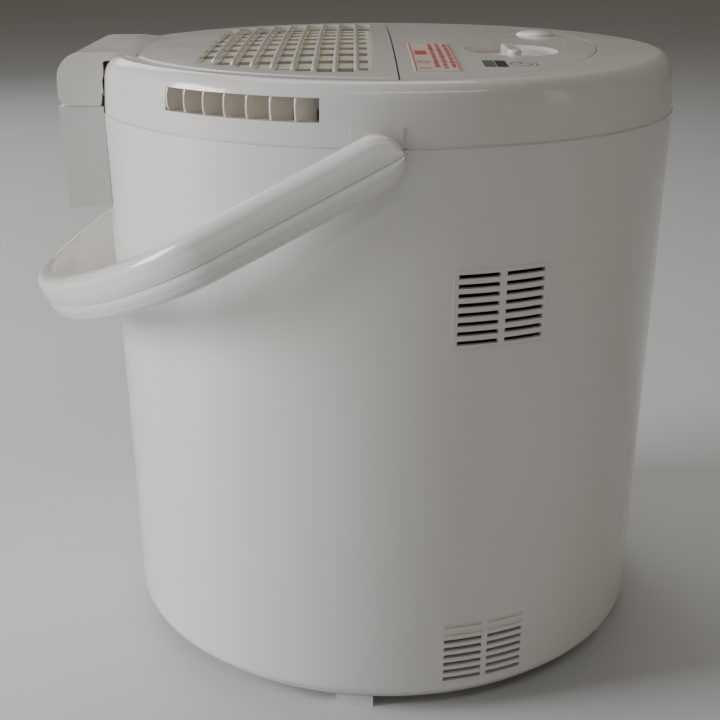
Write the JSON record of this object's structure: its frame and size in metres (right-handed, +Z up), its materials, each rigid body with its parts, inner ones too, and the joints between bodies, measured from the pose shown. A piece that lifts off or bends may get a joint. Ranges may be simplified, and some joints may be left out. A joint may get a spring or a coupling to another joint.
{
  "type": "dehumidifier",
  "caption": "Compact desiccant dehumidifier: round tapered body, bail handle, rear-hinged intake lid with grille, side vents, front control panel and inner drying unit.",
  "frame": {"origin": "on the body's axis at floor level, the centre of the base ring's resting face", "axes": "+Z up; +X to the front, where the controls are; the lid's hinge and the resting bail are at -X"},
  "size_m": [0.3665, 0.3412, 0.3429],
  "materials": {
    "shell_white": "glossy moulded",
    "handle_inset_white": "satin moulded",
    "hinge_white": "satin moulded",
    "slat_cream": "satin moulded",
    "filter_grey": "matte moulded",
    "filter_net": "fine net",
    "foot_rubber": "matte",
    "screw_steel": "zinc plated",
    "bush_nylon": "natural nylon",
    "window_dark": "smoked",
    "led_dark": "clear tinted",
    "label_red": "printed film",
    "knob_white": "satin moulded",
    "button_white": "polished",
    "board_green": "solder mask",
    "switch_black": "matte moulded",
    "inner_white": "matte moulded",
    "duct_grey": "matte moulded",
    "zeolite": "ceramic honeycomb",
    "motor_steel": "zinc plated",
    "condenser_clear": "translucent blow-moulded",
    "heater_metal": "bare sheet",
    "tank_clear": "translucent",
    "tank_white": "satin moulded",
    "float_foam": "foam"
  },
  "bodies": {
    "root": {"base_pan": "shell_white", "base_screws": "screw_steel", "body_shell": "shell_white", "bulkhead": "inner_white", "button_switch": "switch_black", "condenser": "condenser_clear", "control_board": "board_green", "control_panel": "shell_white", "cord_gland": "foot_rubber", "display_windows": "window_dark", "drip_tray": "inner_white", "electronics_box": "inner_white", "fan_motor": "motor_steel", "fan_scroll": "duct_grey", "function_label": "label_red", "handle_bushes": "bush_nylon", "heater": "heater_metal", "hinge_housing": "hinge_white", "hinge_pin": "screw_steel", "hinge_screws": "screw_steel", "intake_vanes": "slat_cream", "level_switch": "switch_black", "power_board": "board_green", "rotor_axle": "screw_steel", "rotor_motor": "motor_steel", "rubber_feet": "foot_rubber", "scroll_cover": "duct_grey", "selector_switch": "switch_black", "status_led": "led_dark", "suction_hood": "duct_grey", "tank_cover": "tank_white", "top_housing": "shell_white", "water_tank": "tank_clear"},
    "lid": {"lid": "shell_white", "lid_slats": "slat_cream", "filter_frame": "filter_grey", "filter_mesh": "filter_net"},
    "handle": {"handle_upper": "shell_white", "handle_lower": "handle_inset_white", "pivot_pins": "screw_steel"},
    "knob": {"mode_knob": "knob_white"},
    "button": {"power_button": "button_white"},
    "fan": {"impeller": "duct_grey"},
    "rotor": {"zeolite_disc": "zeolite", "rotor_ring": "bush_nylon"},
    "pinion": {"drive_pinion": "bush_nylon"},
    "tank_bail": {"tank_handle": "tank_white"},
    "float": {"tank_float": "float_foam"}
  },
  "joints": [
    {"name": "lid_hinge", "type": "hinge", "parent": "root", "child": "lid", "pos_m": [-0.1705, 0, 0.3175], "axis": [0, -1, 0], "range_deg": [0, 85]},
    {"name": "handle_swing", "type": "hinge", "parent": "root", "child": "handle", "pos_m": [-0.008, 0, 0.303], "axis": [0, 1, 0], "range_deg": [0, 130]},
    {"name": "knob_turn", "type": "hinge", "parent": "root", "child": "knob", "pos_m": [0.065, -0.046, 0.34], "axis": [0, 0, 1], "range_deg": [-60, 60]},
    {"name": "button_press", "type": "slide", "parent": "root", "child": "button", "axis": [0, 0, -1], "range_m": [0, 0.0014], "stiffness_N_per_m": 600, "springref_m": -0.0005},
    {"name": "fan_spin", "type": "hinge", "parent": "root", "child": "fan", "pos_m": [0.06, 0.01, 0.258], "axis": [1, 0, 0], "continuous": true},
    {"name": "rotor_spin", "type": "hinge", "parent": "root", "child": "rotor", "pos_m": [0.004, 0, 0.226], "axis": [1, 0, 0], "continuous": true},
    {"name": "pinion_spin", "type": "hinge", "parent": "root", "child": "pinion", "pos_m": [0.004, 0.05656, 0.15859], "axis": [1, 0, 0], "continuous": true},
    {"name": "tank_handle_swing", "type": "hinge", "parent": "root", "child": "tank_bail", "pos_m": [-0.07, 0, 0.1475], "axis": [0, 1, 0], "range_deg": [0, 95]},
    {"name": "float_swing", "type": "hinge", "parent": "root", "child": "float", "pos_m": [-0.06, 0, 0.128], "axis": [0, 1, 0], "range_deg": [0, 12]}
  ],
  "couplings": [
    {"joint": "pinion_spin", "follows": "rotor_spin", "ratio": -6.3333}
  ]
}
